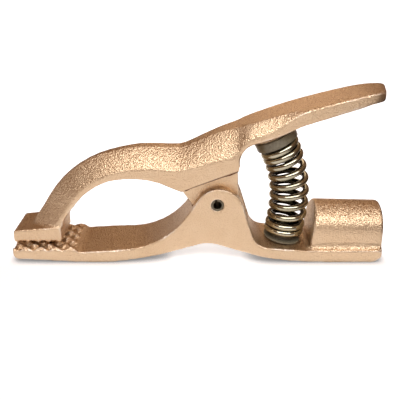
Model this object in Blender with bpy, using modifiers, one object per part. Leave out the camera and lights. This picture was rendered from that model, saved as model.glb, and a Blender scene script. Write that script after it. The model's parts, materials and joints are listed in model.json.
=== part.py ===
"""Spring-jawed welding earth clamp, cast in copper alloy.

Two cast levers turn on a rolled pin. A bowed compression spring between the handles holds
the toothed jaws shut, and a socket in the lower lever takes the cable. +X runs from the
jaws to the socket, +Z is up, and the origin is under the middle of the clamp, on the
surface that it lies on. Sizes are in millimetres and become metres as shapes are made.
"""

import math

import bmesh
import bpy
from mathutils import Matrix, Vector

MM = 0.001
FACET = 0.06  # how far a flat facet may stray from a true arc
GAP = 0.35  # clearance between neighbouring pieces
SLIVER = 0.1  # points closer than this are merged before edges are rounded

# Overall size
HALF_LENGTH = 95.75
LOWER_HALF_WIDTH = 16.0
UPPER_HALF_WIDTH = 14.0
CAST_EDGE = 0.6  # rounded arris of the castings, smaller than their outer rounds
LEVER_EDGE = 0.4  # along the upper lever's inner edges, where the mould parts
CUT_OVERRUN = 5.0  # how far a cutter reaches past the face that it opens
TURN_STEPS = 40  # facets around a turned piece

# Pivot: a lug of the upper lever between two ears of the lower one
PIVOT = Vector((10.0, 0.0, 30.73))
PIN_RADIUS = 3.175
PIN_WALL = 1.1
PIN_HALF_LENGTH = 12.2
PIN_SLOT_WIDTH = 1.0
PIN_SLOT_ANGLE = math.radians(108)
PIN_ROUND = 0.35
LUG_RADIUS = 11.2
LUG_HALF_WIDTH = 8.0
LUG_FLANK_ANGLE = math.radians(215.5)  # where the jaw-side flank leaves the round
LUG_BACK_ANGLE = math.radians(3.5)  # where the handle-side flank leaves it
LUG_FLANK_LENGTH = 16.5
LUG_ROOT = [(19.9, 52.0), (15.0, 54.0), (-5.0, 46.0)]  # ends inside the lever, as x and z
SLOT_CLEARANCE = 0.6
SLOT_FLANK_LENGTH = 24.0
SLOT_TOP = 60.0
SLOT_JAW_END, SLOT_HANDLE_END = -14.0, 40.0

# Cable socket
SOCKET_RADIUS = 13.5
SOCKET_AXIS_Z = 15.3
SOCKET_START = 57.2
SOCKET_LEAN = 3.4  # how far the inner end leans over, foot to crown
SOCKET_TAPER = 0.9  # how far the crown falls towards the open end
SOCKET_ROUND = 1.5
SOCKET_FLARE = 2.2  # slanted foot where the barrel runs out into the strip, across
SOCKET_FLARE_FOOT, SOCKET_FLARE_TOP = 6.6, 8.4
SOCKET_FOOT_Z = 1.5  # the barrel starts inside the strip
STRIP_END = 95.0
STRIP_TOP = 7.0
CABLE_BORE_RADIUS = 6.75
CABLE_BORE_START = 65.5
SCREW_RADIUS = 3.8
SCREW_LENGTH = 7.6
SCREW_SINK = 0.7
SCREW_HEX_RADIUS = 2.3
SCREW_HEX_DEPTH = 3.6
SCREW_POINT = 1.4  # cone at the tip
SCREW_CHAMFER = 0.7
SCREW_PLACES = {"cable_screw_inner": 73.5, "cable_screw_outer": 87.0}

# Spring and its seats. A tilt is from upright, positive towards the socket.
WIRE_RADIUS = 1.55
COIL_RADIUS = 8.85
COILS = 10
CLOSED_TURNS = 2  # turns at each end that lie on one another
CLOSED_RISE = 3.4  # rise of a closed turn
COIL_POINTS = 16
SPRING_BOW = 21.0  # length of the tangents that bow the spring
BOW_SAMPLES = 400
LOWER_SEAT = Vector((44.8, 0.0, 6.9))
LOWER_TILT = math.radians(10)
LOWER_SEAT_RADIUS = 9.8
LOWER_SEAT_HEIGHT = 1.3
UPPER_SEAT = Vector((38.0, 0.0, 65.2))
UPPER_TILT = math.radians(-26)
UPPER_SEAT_RADIUS = 11.0
UPPER_SEAT_HEIGHT = 5.0
SEAT_HUB_RADIUS = 6.2
SEAT_HUB_HEIGHT = 3.4
SEAT_CHAMFER = 0.4
SEAT_FACE_MARGIN = 0.6  # flat on the casting beyond the seat's rim
SEAT_FACE_CLEARANCE = 6.0  # room cut above the lower seat's face
SEAT_PAD_DEPTH = 5.0  # boss behind the upper seat's face
STUD_RADIUS = 4.0
STUD_HEIGHT = 4.0
STUD_ROOT = 2.0

# Jaws
JAW_FACE_Z = 8.7  # tips of the lower teeth
BLOCK_FACE_Z = 9.2  # tips of the upper teeth
BLOCK_START, BLOCK_END = -95.6, -70.6
BLOCK_HALF_WIDTH = 12.0
PAD_END = -65.0
PAD_BREAK = 1.6  # slant along the pad's two long edges
LOWER_TOOTH_PITCH = 7.7  # along the jaw, across a row
LOWER_TOOTH_DEPTH = 1.9
UPPER_TOOTH_PITCH = 5.4
UPPER_TOOTH_DEPTH = 1.7
TOOTH_FIELD_MARGIN = 4.0  # the grooves run out past the teeth
GROOVE_RISE = 0.4  # the V opens past the tooth tips

# Side outline of the lower lever: corners as (x, z, radius of the round)
LOWER_CORNERS = [
    (-HALF_LENGTH, 2.05, 3.0),  # nose
    (-32.7, -1.47, 180.0),  # long bow under the jaw
    (5.1, 9.85, 17.0),  # crest under the pivot
    (39.1, 0.0, 190.0),  # run-out to the foot
    (STRIP_END, 0.0, 5.0),  # heel
    (STRIP_END, STRIP_TOP, 1.4),
    (57.0, 6.8, 20.0),  # foot of the socket
    (29.9, 8.75, 9.5),  # valley behind the ears
    (14.9, 56.7, 12.75),  # ears, where their two flanks would meet
    (-15.85, 8.6, 41.0),  # ramp up to the ears
    (-61.5, 5.95, 1.5),  # foot of the tooth pad
    (PAD_END, JAW_FACE_Z, 1.4),
    (-HALF_LENGTH, JAW_FACE_Z, 1.4),
]

# One side of the lower lever seen from above, drawn in at the ears: corners as (x, y, radius)
WAIST_CORNERS = [(-110.0, 21.9, 0.0), (12.2, 11.0, 130.0), (110.0, 33.4, 0.0)]
WAIST_HALF_HEIGHT = 70.0

# Upper jaw block, as the side outline
BLOCK_CORNERS = [
    (BLOCK_START, BLOCK_FACE_Z, 1.4),
    (BLOCK_END, BLOCK_FACE_Z, 1.4),
    (BLOCK_END, 18.4, 1.4),
    (-86.0, 17.2, 0.0),
    (BLOCK_START, 16.2, 1.4),
]

# Sections of the upper lever from jaw to handle tip, each as the outer edge's x and z, the
# inner edge's x and z, the half width, the half width of the flat along the outer edge, and
# how far up the upright side goes before its shoulder turns in.
LEVER_SECTIONS = [
    (-86.7, 13.9, -71.8, 10.8, 10.8, 6.0, 0.50),  # inside the jaw block
    (-85.7, 18.9, -70.0, 18.2, 11.2, 4.0, 0.25),
    (-84.0, 22.4, -69.2, 21.3, 10.8, 2.8, 0.20),
    (-80.9, 26.8, -67.1, 24.3, 10.4, 2.2, 0.18),
    (-76.4, 33.8, -63.4, 29.0, 10.1, 1.9, 0.18),  # arch over the jaw opening
    (-69.9, 41.7, -58.6, 34.6, 10.0, 1.8, 0.20),
    (-60.9, 49.1, -52.5, 39.1, 10.0, 1.8, 0.22),
    (-50.3, 54.6, -45.3, 42.5, 10.1, 2.0, 0.26),
    (-39.8, 57.6, -37.3, 43.8, 10.3, 2.4, 0.30),
    (-29.6, 59.3, -28.7, 43.8, 10.6, 2.8, 0.36),
    (-19.3, 59.3, -19.2, 42.1, 11.4, 3.0, 0.43),
    (-9.3, 59.2, -8.5, 37.9, 12.5, 3.0, 0.53),  # shoulder over the lug
    (-4.0, 60.9, -3.4, 39.7, 12.7, 3.2, 0.52),
    (4.0, 64.5, 4.0, 42.6, 12.9, 4.0, 0.46),
    (12.5, 68.1, 12.5, 45.9, 13.3, 5.0, 0.42),
    (19.9, 70.4, 20.2, 48.9, 13.8, 6.5, 0.40),
    (23.3, 71.7, 20.9, 55.5, UPPER_HALF_WIDTH, 8.0, 0.38),  # root of the handle
    (27.2, 73.1, 24.2, 61.0, UPPER_HALF_WIDTH, 9.0, 0.34),
    (32.6, 74.9, 31.0, 64.1, UPPER_HALF_WIDTH, 9.6, 0.32),
    (39.6, 77.2, 40.0, 67.2, UPPER_HALF_WIDTH, 10.2, 0.45),
    (49.6, 80.1, 50.0, 72.0, UPPER_HALF_WIDTH, 10.8, 0.80),
    (61.6, 83.3, 62.5, 76.7, 13.9, 10.8, 0.85),
    (74.5, 86.5, 75.5, 80.7, 13.5, 10.4, 0.84),
    (82.5, 88.2, 83.3, 83.1, 13.0, 9.8, 0.82),
    (87.5, 88.7, 87.7, 83.8, 12.4, 9.2, 0.80),  # rounded tip
    (90.0, 88.8, 90.1, 84.1, 11.2, 8.4, 0.78),
    (91.3, 88.5, 91.4, 84.2, 10.0, 7.6, 0.74),
    (92.0, 88.0, 92.0, 84.6, 8.2, 6.2, 0.70),
]
TIP_SLANT = 0.22  # the handle's end is trimmed askew: x shift for each mm across
TIP_SLANT_START, TIP_SLANT_FULL = 78.0, 90.0
SECTIONS_BETWEEN = 2
SHOULDER_POINTS = 5
SHOULDER_FULLNESS = 0.15  # 0 leaves the shoulder a flat slant, 1 makes it square


def clear_scene():
    for obj in list(bpy.data.objects):
        bpy.data.objects.remove(obj, do_unlink=True)


def new_collection(name):
    collection = bpy.data.collections.new(name)
    bpy.context.scene.collection.children.link(collection)
    return collection


def new_material(name, colour, roughness, metallic):
    material = bpy.data.materials.new(name)
    material.use_nodes = True
    shader = material.node_tree.nodes["Principled BSDF"]
    shader.inputs["Base Color"].default_value = (*colour, 1.0)
    shader.inputs["Roughness"].default_value = roughness
    shader.inputs["Metallic"].default_value = metallic
    return material


def add_object(name, data, collection):
    obj = bpy.data.objects.new(name, data)
    collection.objects.link(obj)
    return obj


def add_helper(name, data):
    """A piece that only cuts or joins another one."""
    obj = add_object(name, data, CUTTERS)
    obj.hide_render = True
    obj.display_type = "WIRE"
    return obj


def finish_part(obj, material):
    """Gives a part its material and smooth shading with crisp edges."""
    obj.data.materials.append(material)
    if obj.type == "MESH":
        obj.data.shade_smooth()
        obj.data.set_sharp_from_angle(angle=math.radians(35))


def join(obj, other, operation):
    boolean = obj.modifiers.new(f"{operation.lower()} {other.name}", "BOOLEAN")
    boolean.operation = operation
    boolean.solver = "EXACT"
    boolean.object = other


def round_edges(obj, width, segments, angle):
    bevel = obj.modifiers.new("cast edge", "BEVEL")
    bevel.width = width * MM
    bevel.segments = segments
    bevel.limit_method = "ANGLE"
    bevel.angle_limit = math.radians(angle)


def arc(centre, radius, start, turn):
    """Points on an arc in a plane, fine enough for FACET."""
    step = 2 * math.acos(1 - FACET / radius)
    count = max(2, math.ceil(abs(turn) / step))
    angles = [start + turn * k / count for k in range(count + 1)]
    return [(centre[0] + radius * math.cos(a), centre[1] + radius * math.sin(a)) for a in angles]


def rounded(corners):
    """Outline through corners (x, z, radius), with each round as an arc."""
    points = []
    for index, (x, z, radius) in enumerate(corners):
        corner = Vector((x, z))
        if radius == 0:
            points.append((x, z))
            continue
        before = (Vector(corners[index - 1][:2]) - corner).normalized()
        after = (Vector(corners[(index + 1) % len(corners)][:2]) - corner).normalized()
        half_angle = before.angle(after) / 2
        centre = corner + (before + after).normalized() * (radius / math.sin(half_angle))
        start = before * (radius / math.tan(half_angle)) + corner - centre
        end = after * (radius / math.tan(half_angle)) + corner - centre
        turn = math.atan2(start.x * end.y - start.y * end.x, start.dot(end))
        points += arc(centre, radius, math.atan2(start.y, start.x), turn)
    return points


SIDE_PLANE = Matrix.Rotation(math.radians(90), 4, "X")  # outline in X and Z, depth along Y
FLAT_PLANE = Matrix.Identity(4)  # outline in X and Y, depth along Z
END_PLANE = Matrix(((0, 0, 1, 0), (1, 0, 0, 0), (0, 1, 0, 0), (0, 0, 0, 1)))  # Y and Z, along X


def slab_mesh(name, outline, half_depth, plane):
    """An outline filled and pulled out both ways, as a closed mesh in the scene's frame."""
    curve = bpy.data.curves.new(name, "CURVE")
    curve.dimensions = "2D"
    curve.fill_mode = "BOTH"
    curve.extrude = half_depth * MM
    spline = curve.splines.new("POLY")
    spline.points.add(len(outline) - 1)
    for point, (across, up) in zip(spline.points, outline):
        point.co = (across * MM, up * MM, 0.0, 1.0)
    spline.use_cyclic_u = True
    guide = add_helper(name + "_outline", curve)
    guide.matrix_world = plane
    bpy.context.view_layer.update()
    graph = bpy.context.evaluated_depsgraph_get()
    mesh = bpy.data.meshes.new_from_object(guide.evaluated_get(graph))
    mesh.transform(plane)
    bm = bmesh.new()
    bm.from_mesh(mesh)
    bmesh.ops.remove_doubles(bm, verts=bm.verts, dist=1e-6)
    # The fill comes as triangles; one face for each end lets the edges be rounded
    flat = math.radians(0.1)
    bmesh.ops.dissolve_limit(bm, angle_limit=flat, verts=bm.verts, edges=bm.edges)
    bmesh.ops.recalc_face_normals(bm, faces=bm.faces)
    bm.to_mesh(mesh)
    bm.free()
    bpy.data.objects.remove(guide, do_unlink=True)
    mesh.name = name
    return mesh


def rod(name, start, end, radius):
    """A plain round rod between two points, for holes and studs."""
    start, end = Vector(start) * MM, Vector(end) * MM
    span = end - start
    sides = math.ceil(2 * math.pi / (2 * math.acos(1 - FACET / radius)))
    bm = bmesh.new()
    bmesh.ops.create_cone(
        bm, cap_ends=True, segments=sides, radius1=radius * MM, radius2=radius * MM, depth=span.length
    )
    turn = span.to_track_quat("Z", "Y").to_matrix().to_4x4()
    bm.transform(Matrix.Translation((start + end) / 2) @ turn)
    mesh = bpy.data.meshes.new(name)
    bm.to_mesh(mesh)
    bm.free()
    return add_helper(name, mesh)


def turned(name, profile, collection):
    """A profile of (radius, height) points, closed and turned about Z with a Screw modifier."""
    mesh = bpy.data.meshes.new(name)
    count = len(profile)
    edges = [(i, (i + 1) % count) for i in range(count)]
    mesh.from_pydata([(radius * MM, 0.0, height * MM) for radius, height in profile], edges, [])
    obj = add_object(name, mesh, collection)
    screw = obj.modifiers.new("turn", "SCREW")
    screw.axis = "Z"
    screw.steps = screw.render_steps = TURN_STEPS
    screw.use_merge_vertices = True
    screw.merge_threshold = 0.00001
    return obj


def tilted(tilt):
    """Unit direction leaning from upright towards the socket."""
    return Vector((math.sin(tilt), 0.0, math.cos(tilt)))


def groove_mesh(name, field, pitch, depth, face_z, up):
    """Crossing V grooves, one set, over a field (x start, x end, half width). The other set is
    its mirror image. up is 1 where the teeth point up and -1 where they point down."""
    start, end, half_width = field
    spacing = pitch / math.sqrt(2)
    wide = depth + GROOVE_RISE
    along = Vector((1.0, 1.0, 0.0)).normalized()
    across = Vector((1.0, -1.0, 0.0)).normalized()
    bm = bmesh.new()
    count = math.ceil((end - start + 2 * half_width) / pitch)
    for k in range(count + 1):
        meet_x = start - half_width + (k + 0.5) * pitch  # where this groove crosses the middle
        first = max(start - meet_x, -half_width)
        last = min(end - meet_x, half_width)
        if last - first < spacing:
            continue
        bottom = Vector((meet_x, 0.0, face_z - up * depth))
        ends = []
        for reach in (first, last):
            centre = bottom + along * (reach * math.sqrt(2))
            rim = Vector((0.0, 0.0, up * wide))
            ends.append([centre, centre + rim + across * wide, centre + rim - across * wide])
        corners = [[bm.verts.new(point * MM) for point in ring] for ring in ends]
        for i in range(3):
            j = (i + 1) % 3
            bm.faces.new((corners[0][i], corners[0][j], corners[1][j], corners[1][i]))
        bm.faces.new(corners[0])
        bm.faces.new(reversed(corners[1]))
    bmesh.ops.recalc_face_normals(bm, faces=bm.faces)
    mesh = bpy.data.meshes.new(name)
    bm.to_mesh(mesh)
    bm.free()
    return mesh


def cut_teeth(obj, name, field, pitch, depth, face_z, up):
    """Cuts diamond teeth with two sets of diagonal V grooves."""
    for side, flip in (("left", 1), ("right", -1)):
        mesh = groove_mesh(f"{name}_{side}_grooves", field, pitch, depth, face_z, up)
        if flip < 0:
            mesh.transform(Matrix.Scale(-1, 4, (0, 1, 0)))
            mesh.flip_normals()
        join(obj, add_helper(mesh.name, mesh), "DIFFERENCE")


def pivot_round(radius, last_angle, flank_length):
    """Jaw-side flank, then the round about the pin as far as last_angle, as outline points."""
    points = arc((PIVOT.x, PIVOT.z), radius, LUG_FLANK_ANGLE, last_angle - LUG_FLANK_ANGLE)
    flank = Vector((math.sin(LUG_FLANK_ANGLE), -math.cos(LUG_FLANK_ANGLE)))
    return [tuple(Vector(points[0]) + flank * flank_length)] + points


def cut_pin_hole(obj, name):
    across = Vector((0.0, LOWER_HALF_WIDTH + CUT_OVERRUN, 0.0))
    join(obj, rod(name, PIVOT - across, PIVOT + across, PIN_RADIUS + GAP), "DIFFERENCE")


def make_lower_lever():
    outline = rounded(LOWER_CORNERS)
    lever = add_object("lower_lever", slab_mesh("lower_lever", outline, LOWER_HALF_WIDTH, SIDE_PLANE), PARTS)
    side = [(x, -y, radius) for x, y, radius in WAIST_CORNERS]
    waist_outline = rounded(side + WAIST_CORNERS[::-1])
    waist = add_helper("waist", slab_mesh("waist", waist_outline, WAIST_HALF_HEIGHT, FLAT_PLANE))
    join(lever, waist, "INTERSECT")
    weld = lever.modifiers.new("merge slivers", "WELD")
    weld.merge_threshold = SLIVER * MM
    round_edges(lever, CAST_EDGE, 2, 40)

    # Socket barrel: upright sides under a half-round crown, its inner end leaning over
    crown = arc((0.0, SOCKET_AXIS_Z), SOCKET_RADIUS, 0.0, math.pi)
    foot = SOCKET_RADIUS + SOCKET_FLARE
    flare = [(foot, SOCKET_FOOT_Z), (foot, SOCKET_FLARE_FOOT), (SOCKET_RADIUS, SOCKET_FLARE_TOP)]
    section = flare + crown + [(-y, z) for y, z in reversed(flare)]
    half_barrel = (HALF_LENGTH - SOCKET_START) / 2
    barrel_mesh = slab_mesh("socket_barrel", section, half_barrel, END_PLANE)
    crown_z = (SOCKET_AXIS_Z + SOCKET_RADIUS) * MM
    for vertex in barrel_mesh.vertices:
        if vertex.co.x < 0:
            vertex.co.x += SOCKET_LEAN * MM * vertex.co.z / crown_z
        elif vertex.co.z > SOCKET_AXIS_Z * MM:
            vertex.co.z -= SOCKET_TAPER * (vertex.co.z - SOCKET_AXIS_Z * MM) / SOCKET_RADIUS
        vertex.co.x += (HALF_LENGTH + SOCKET_START) / 2 * MM
    barrel = add_helper("socket_barrel", barrel_mesh)
    round_edges(barrel, SOCKET_ROUND, 3, 60)
    join(lever, barrel, "UNION")

    # Slot between the ears, open at the top and towards the handle
    radius = LUG_RADIUS + SLOT_CLEARANCE
    slot_outline = pivot_round(radius, math.radians(270), SLOT_FLANK_LENGTH) + [
        (SLOT_HANDLE_END, PIVOT.z - radius),
        (SLOT_HANDLE_END, SLOT_TOP),
        (SLOT_JAW_END, SLOT_TOP),
    ]
    slot = slab_mesh("lug_slot", slot_outline, LUG_HALF_WIDTH + GAP, SIDE_PLANE)
    join(lever, add_helper("lug_slot", slot), "DIFFERENCE")

    # Flat seat for the spring washer, with a stud that keeps it in place
    axis = tilted(LOWER_TILT)
    seat_radius = LOWER_SEAT_RADIUS + SEAT_FACE_MARGIN
    seat = rod("lower_seat_face", LOWER_SEAT, LOWER_SEAT + axis * SEAT_FACE_CLEARANCE, seat_radius)
    join(lever, seat, "DIFFERENCE")
    stud = rod("lower_stud", LOWER_SEAT - axis * STUD_ROOT, LOWER_SEAT + axis * STUD_HEIGHT, STUD_RADIUS)
    join(lever, stud, "UNION")

    cut_pin_hole(lever, "ear_holes")
    bore_end = (HALF_LENGTH + CUT_OVERRUN, 0, SOCKET_AXIS_Z)
    bore = rod("cable_bore", (CABLE_BORE_START, 0, SOCKET_AXIS_Z), bore_end, CABLE_BORE_RADIUS)
    join(lever, bore, "DIFFERENCE")
    for name, x in SCREW_PLACES.items():
        hole = rod(name + "_hole", (x, 0, -CUT_OVERRUN), (x, 0, SOCKET_AXIS_Z), SCREW_RADIUS + GAP)
        join(lever, hole, "DIFFERENCE")

    # Toothed pad, with its long edges broken
    half_pad = (PAD_END + HALF_LENGTH) / 2 + TOOTH_FIELD_MARGIN
    reach = PAD_BREAK + TOOTH_FIELD_MARGIN
    rim_z = JAW_FACE_Z - PAD_BREAK
    for side, name in ((1, "far_break"), (-1, "near_break")):
        rim = side * LOWER_HALF_WIDTH
        corner = [(rim + side * reach, rim_z - reach), (rim - side * reach, rim_z + reach)]
        wedge = slab_mesh(name, corner + [(rim + side * reach, rim_z + reach)], half_pad, END_PLANE)
        wedge.transform(Matrix.Translation(((PAD_END - HALF_LENGTH) / 2 * MM, 0.0, 0.0)))
        join(lever, add_helper(name, wedge), "DIFFERENCE")
    margin = TOOTH_FIELD_MARGIN
    field = (-HALF_LENGTH - margin, PAD_END + margin, LOWER_HALF_WIDTH + margin)
    cut_teeth(lever, "lower_teeth", field, LOWER_TOOTH_PITCH, LOWER_TOOTH_DEPTH, JAW_FACE_Z, 1)
    finish_part(lever, CAST_METAL)
    return lever


def section_ring(values):
    """One closed section of the upper lever, as points in the scene's frame."""
    outer_x, outer_z, inner_x, inner_z, half_width, flat, side = values
    inner = Vector((inner_x, 0.0, inner_z))
    rise = Vector((outer_x, 0.0, outer_z)) - inner
    edge_up = LEVER_EDGE / rise.length
    half = [(half_width - LEVER_EDGE, 0.0), (half_width, edge_up), (half_width, side)]
    turn_across = half_width - (half_width - flat) * (1 - SHOULDER_FULLNESS) / 2
    turn_up = side + (1 - side) * (1 + SHOULDER_FULLNESS) / 2
    for k in range(1, SHOULDER_POINTS + 1):
        t = k / SHOULDER_POINTS
        across = half_width * (1 - t) ** 2 + 2 * turn_across * t * (1 - t) + flat * t ** 2
        up = side * (1 - t) ** 2 + 2 * turn_up * t * (1 - t) + t ** 2
        half.append((across, up))
    both = half + [(-across, up) for across, up in reversed(half)]
    share = (outer_x - TIP_SLANT_START) / (TIP_SLANT_FULL - TIP_SLANT_START)
    sideways = Vector((TIP_SLANT * min(max(share, 0.0), 1.0), 1.0, 0.0))
    return [inner + rise * up + sideways * across for across, up in both]


def smooth_sections(sections):
    """The sections with more between them, on a curve through each of their values."""
    found = []
    last = len(sections) - 1
    for index in range(last):
        a = sections[max(index - 1, 0)]
        b = sections[index]
        c = sections[index + 1]
        d = sections[min(index + 2, last)]
        for k in range(SECTIONS_BETWEEN):
            t = k / SECTIONS_BETWEEN
            found.append([
                q + t * ((r - p) + t * ((2 * p - 5 * q + 4 * r - s) + t * (3 * q - p - 3 * r + s))) / 2
                for p, q, r, s in zip(a, b, c, d)
            ])
    found.append(sections[last])
    return found


def lever_mesh():
    """Loft through the sections of the upper lever."""
    rings = [section_ring(values) for values in smooth_sections(LEVER_SECTIONS)]
    bm = bmesh.new()
    loops = [[bm.verts.new(point * MM) for point in ring] for ring in rings]
    for here, there in zip(loops, loops[1:]):
        for i in range(len(here)):
            j = (i + 1) % len(here)
            bm.faces.new((here[i], here[j], there[j], there[i]))
    bm.faces.new(loops[0])
    bm.faces.new(reversed(loops[-1]))
    bmesh.ops.triangulate(bm, faces=bm.faces)
    bmesh.ops.recalc_face_normals(bm, faces=bm.faces)
    mesh = bpy.data.meshes.new("upper_lever")
    bm.to_mesh(mesh)
    bm.free()
    return mesh


def make_upper_lever():
    lever = add_object("upper_lever", lever_mesh(), PARTS)

    block_mesh = slab_mesh("jaw_block", rounded(BLOCK_CORNERS), BLOCK_HALF_WIDTH, SIDE_PLANE)
    block = add_helper("jaw_block", block_mesh)
    round_edges(block, CAST_EDGE, 2, 40)
    join(lever, block, "UNION")

    last_angle = 2 * math.pi + LUG_BACK_ANGLE
    lug_outline = pivot_round(LUG_RADIUS, last_angle, LUG_FLANK_LENGTH) + LUG_ROOT
    lug = slab_mesh("pivot_lug", lug_outline, LUG_HALF_WIDTH, SIDE_PLANE)
    join(lever, add_helper("pivot_lug", lug), "UNION")

    axis = -tilted(UPPER_TILT)
    pad_radius = UPPER_SEAT_RADIUS + SEAT_FACE_MARGIN
    pad = rod("upper_seat_pad", UPPER_SEAT, UPPER_SEAT - axis * SEAT_PAD_DEPTH, pad_radius)
    join(lever, pad, "UNION")
    stud = rod("upper_stud", UPPER_SEAT - axis * STUD_ROOT, UPPER_SEAT + axis * STUD_HEIGHT, STUD_RADIUS)
    join(lever, stud, "UNION")

    cut_pin_hole(lever, "lug_hole")

    margin = TOOTH_FIELD_MARGIN
    field = (BLOCK_START - margin, BLOCK_END + margin, BLOCK_HALF_WIDTH + margin)
    cut_teeth(lever, "upper_teeth", field, UPPER_TOOTH_PITCH, UPPER_TOOTH_DEPTH, BLOCK_FACE_Z, -1)
    finish_part(lever, CAST_METAL)
    return lever


def make_pivot_pin():
    """Strip rolled into a tube, with the slot that lets it spring."""
    centre = (PIVOT.x, PIVOT.z)
    outer_half = math.asin(PIN_SLOT_WIDTH / 2 / PIN_RADIUS)
    inner_radius = PIN_RADIUS - PIN_WALL
    inner_half = math.asin(PIN_SLOT_WIDTH / 2 / inner_radius)
    full = 2 * math.pi
    outer = arc(centre, PIN_RADIUS, PIN_SLOT_ANGLE + outer_half, full - 2 * outer_half)
    inner = arc(centre, inner_radius, PIN_SLOT_ANGLE - inner_half, 2 * inner_half - full)
    pin = add_object("pivot_pin", slab_mesh("pivot_pin", outer + inner, PIN_HALF_LENGTH, SIDE_PLANE), PARTS)
    round_edges(pin, PIN_ROUND, 1, 70)
    finish_part(pin, DARK_STEEL)
    return pin


def make_seat(name, place, axis, radius, height):
    """Insulating bush: a flange against the lever and a hub inside the spring."""
    bore = STUD_RADIUS + GAP
    chamfer = SEAT_CHAMFER
    top = height + SEAT_HUB_HEIGHT
    profile = [
        (SEAT_HUB_RADIUS - chamfer, top),
        (SEAT_HUB_RADIUS, top - chamfer),
        (SEAT_HUB_RADIUS, height),
        (radius - chamfer, height),
        (radius, height - chamfer),
        (radius, chamfer),
        (radius - chamfer, 0.0),
        (bore, 0.0),
        (bore, top),
    ]
    seat = turned(name, profile, PARTS)
    seat.location = (place + axis * GAP) * MM
    seat.rotation_euler = axis.to_track_quat("Z", "Y").to_euler()
    finish_part(seat, FIBRE)
    return seat


def spring_path(t):
    """Point and direction on the bowed line through the spring's middle, t from 0 to 1."""
    foot_axis, head_axis = tilted(LOWER_TILT), tilted(UPPER_TILT)
    foot = LOWER_SEAT + foot_axis * (LOWER_SEAT_HEIGHT + 2 * GAP)
    head = UPPER_SEAT - head_axis * (UPPER_SEAT_HEIGHT + 2 * GAP)
    a, b, c, d = foot, foot + foot_axis * SPRING_BOW, head - head_axis * SPRING_BOW, head
    s = 1 - t
    point = a * s ** 3 + b * 3 * s * s * t + c * 3 * s * t * t + d * t ** 3
    direction = (b - a) * s * s + (c - b) * 2 * s * t + (d - c) * t * t
    return point, direction.normalized()


def spring_points():
    """Points along the wire: closed end turns, then even turns, around the bowed line."""
    path = [spring_path(k / BOW_SAMPLES) for k in range(BOW_SAMPLES + 1)]
    reach = [0.0]
    for here, there in zip(path, path[1:]):
        reach.append(reach[-1] + (there[0] - here[0]).length)
    climb = reach[-1] - 2 * WIRE_RADIUS
    even_rise = (climb - 2 * CLOSED_TURNS * CLOSED_RISE) / (COILS - 2 * CLOSED_TURNS)
    points = []
    for k in range(COILS * COIL_POINTS + 1):
        turn = k / COIL_POINTS
        low = min(turn, CLOSED_TURNS)
        high = max(turn - (COILS - CLOSED_TURNS), 0.0)
        height = WIRE_RADIUS + CLOSED_RISE * (low + high) + even_rise * (turn - low - high)
        index = min(range(len(reach)), key=lambda i: abs(reach[i] - height))
        middle, direction = path[index]
        outward = Vector((direction.z, 0.0, -direction.x))
        angle = 2 * math.pi * turn
        points.append(
            middle + (outward * math.cos(angle) + Vector((0, 1, 0)) * math.sin(angle)) * COIL_RADIUS
        )
    return points


def make_spring():
    points = spring_points()
    curve = bpy.data.curves.new("compression_spring", "CURVE")
    curve.dimensions = "3D"
    curve.bevel_depth = WIRE_RADIUS * MM
    curve.bevel_resolution = 2
    curve.use_fill_caps = True
    spline = curve.splines.new("POLY")
    spline.points.add(len(points) - 1)
    for spot, point in zip(spline.points, points):
        spot.co = (*(point * MM), 1.0)
    spring = add_object("compression_spring", curve, PARTS)
    finish_part(spring, PLATED_WIRE)
    return spring


def make_cable_screw(name, x):
    """Socket set screw in the underside, its point just below the cable bore."""
    profile = [
        (0.0, SCREW_LENGTH),
        (SCREW_RADIUS - SCREW_POINT, SCREW_LENGTH),
        (SCREW_RADIUS, SCREW_LENGTH - SCREW_POINT),
        (SCREW_RADIUS, SCREW_CHAMFER),
        (SCREW_RADIUS - SCREW_CHAMFER, 0.0),
        (0.0, 0.0),
    ]
    screw = turned(name, profile, PARTS)
    screw.location = (x * MM, 0.0, SCREW_SINK * MM)
    bm = bmesh.new()
    radius = SCREW_HEX_RADIUS * MM
    depth = 2 * SCREW_HEX_DEPTH * MM
    bmesh.ops.create_cone(bm, cap_ends=True, segments=6, radius1=radius, radius2=radius, depth=depth)
    hex_mesh = bpy.data.meshes.new(name + "_hex")
    bm.to_mesh(hex_mesh)
    bm.free()
    hex_key = add_helper(name + "_hex", hex_mesh)
    hex_key.location = screw.location
    join(screw, hex_key, "DIFFERENCE")
    finish_part(screw, DARK_STEEL)
    return screw


clear_scene()
PARTS = new_collection("earth_clamp")
CUTTERS = new_collection("cutters")
CAST_METAL = new_material("cast copper alloy", (0.73, 0.49, 0.33), 0.45, 1.0)
PLATED_WIRE = new_material("plated spring wire", (0.62, 0.57, 0.42), 0.25, 1.0)
DARK_STEEL = new_material("dark steel", (0.16, 0.15, 0.14), 0.4, 1.0)
FIBRE = new_material("insulating fibre", (0.12, 0.11, 0.10), 0.6, 0.0)

make_lower_lever()
make_pivot_pin()
make_spring()
for screw_name, screw_x in SCREW_PLACES.items():
    make_cable_screw(screw_name, screw_x)
make_seat(
    "lower_spring_seat", LOWER_SEAT, tilted(LOWER_TILT), LOWER_SEAT_RADIUS, LOWER_SEAT_HEIGHT
)
moving = [
    make_upper_lever(),
    make_seat(
        "upper_spring_seat", UPPER_SEAT, -tilted(UPPER_TILT), UPPER_SEAT_RADIUS, UPPER_SEAT_HEIGHT
    ),
]

# The upper lever and its seat turn together about the pin
jaw_pivot = add_object("jaw_pivot", None, PARTS)
jaw_pivot.location = PIVOT * MM
bpy.context.view_layer.update()
for piece in moving:
    piece.parent = jaw_pivot
    piece.matrix_parent_inverse = jaw_pivot.matrix_world.inverted()
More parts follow.
